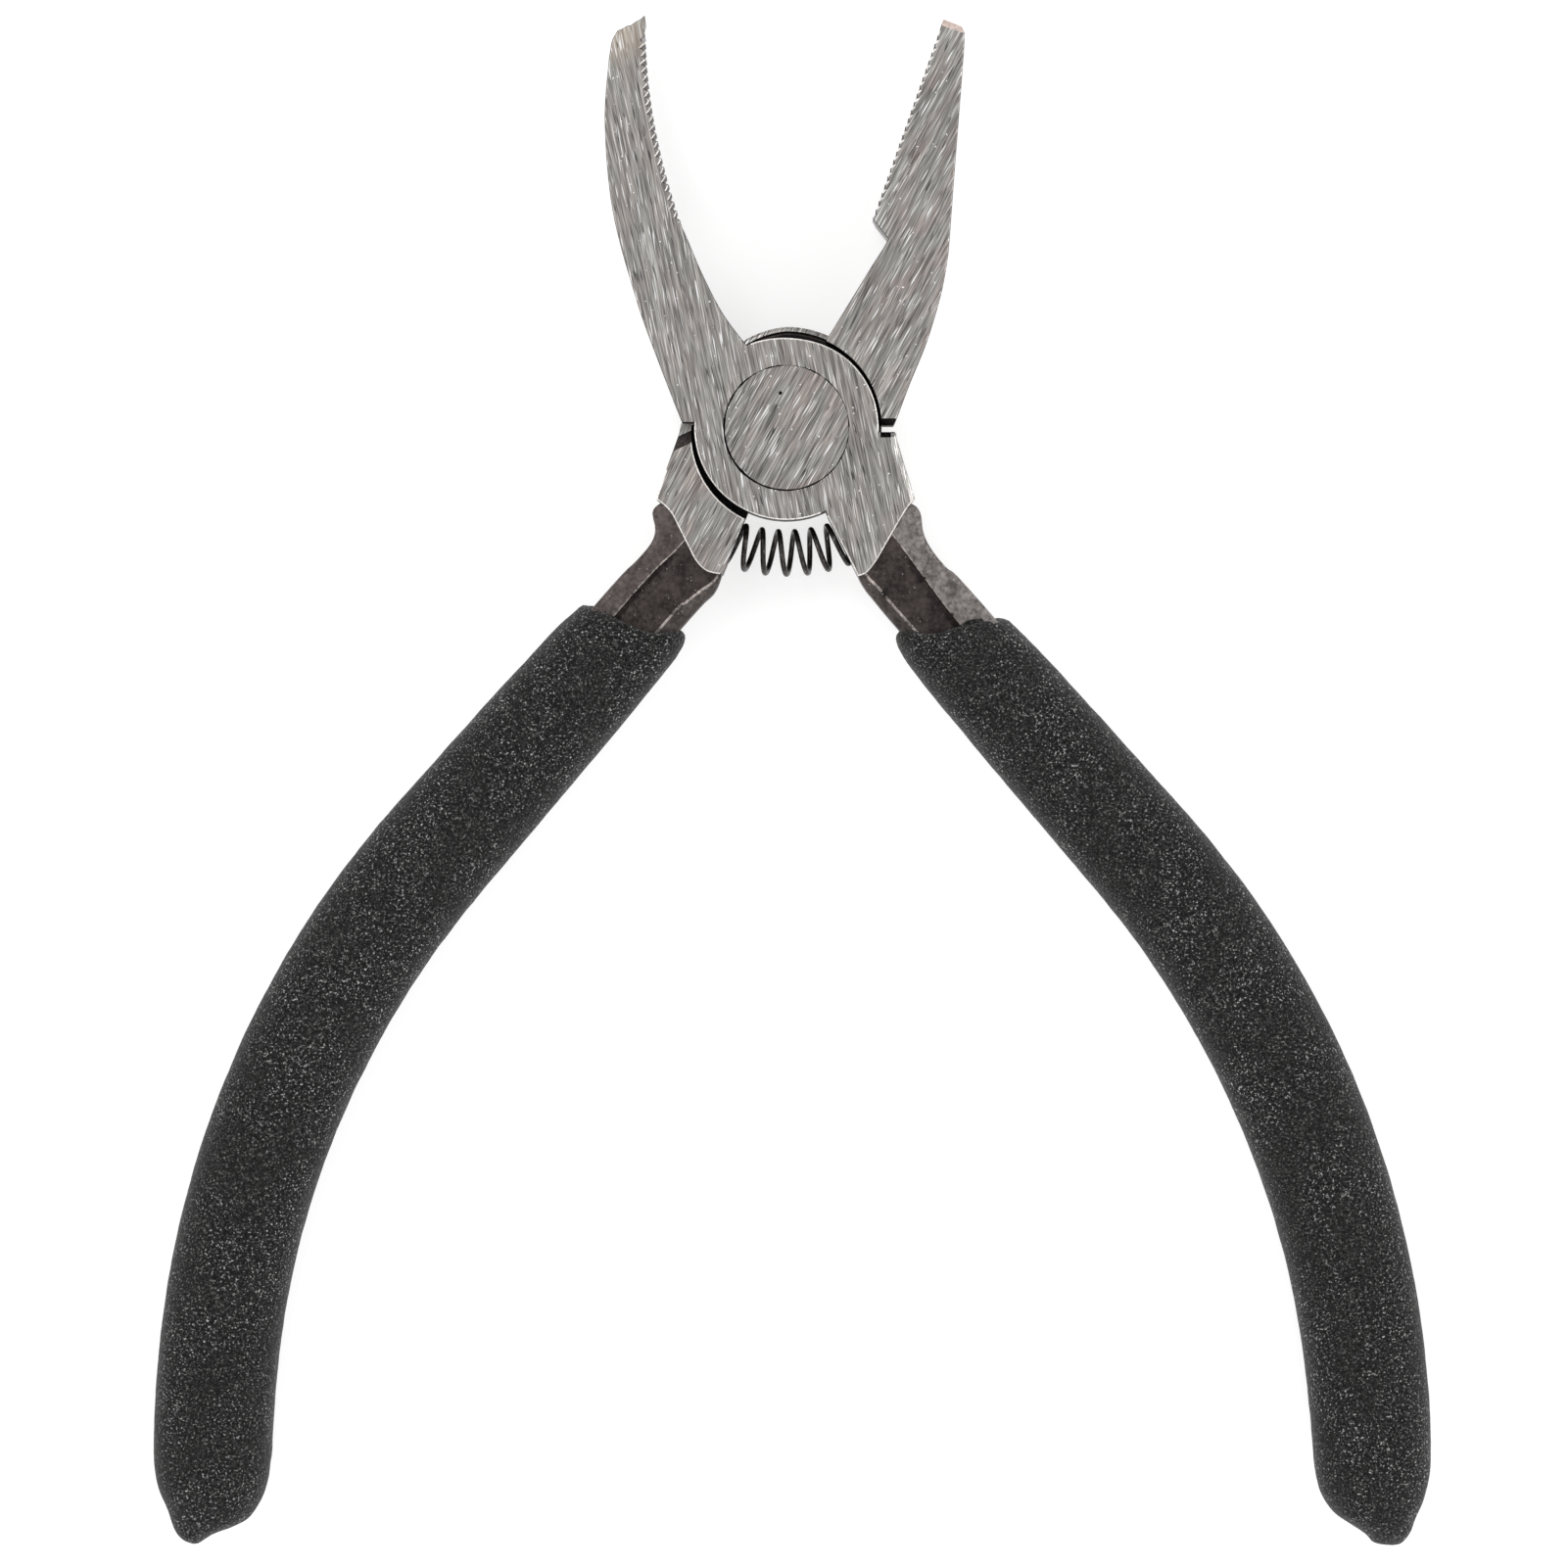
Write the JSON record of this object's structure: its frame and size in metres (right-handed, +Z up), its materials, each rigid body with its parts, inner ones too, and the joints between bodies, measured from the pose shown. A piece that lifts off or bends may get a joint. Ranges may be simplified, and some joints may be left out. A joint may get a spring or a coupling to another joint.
{
  "type": "glass nibbling pliers",
  "caption": "Spring-opened steel hand pliers for glass, with a hollow-curved and a straight serrated jaw, a flush rivet and foam-dipped handles.",
  "frame": {"origin": "under the middle of the open pliers' box, on the surface that the grips rest on", "axes": "+Y from the handles towards the jaws, +Z up from the surface through the front lap, +X towards the straight jaw"},
  "size_m": [0.1252, 0.1498, 0.0112],
  "materials": {
    "ground_steel": "ground head with a coarse brushed grain, dark forged neck",
    "rivet_steel": "ground flush with the head, brushed grain",
    "spring_wire": "oil-blackened spring wire, satin",
    "dipped_foam": "matte black foamed dip with a fine speckled grain"
  },
  "bodies": {
    "back_handle": {"back_half": "ground_steel", "pivot_rivet": "rivet_steel", "back_grip": "dipped_foam", "return_spring": "spring_wire"},
    "front_handle": {"front_half": "ground_steel", "front_grip": "dipped_foam"}
  },
  "joints": [
    {"name": "jaw_pivot", "type": "hinge", "parent": "back_handle", "child": "front_handle", "pos_m": [-0.00064, 0.03458, 0.0056], "axis": [0, 0, -1], "range_deg": [0, 39], "stiffness_Nm_per_rad": 0.9, "springref_deg": -5.16, "deforming": ["return_spring"]}
  ]
}
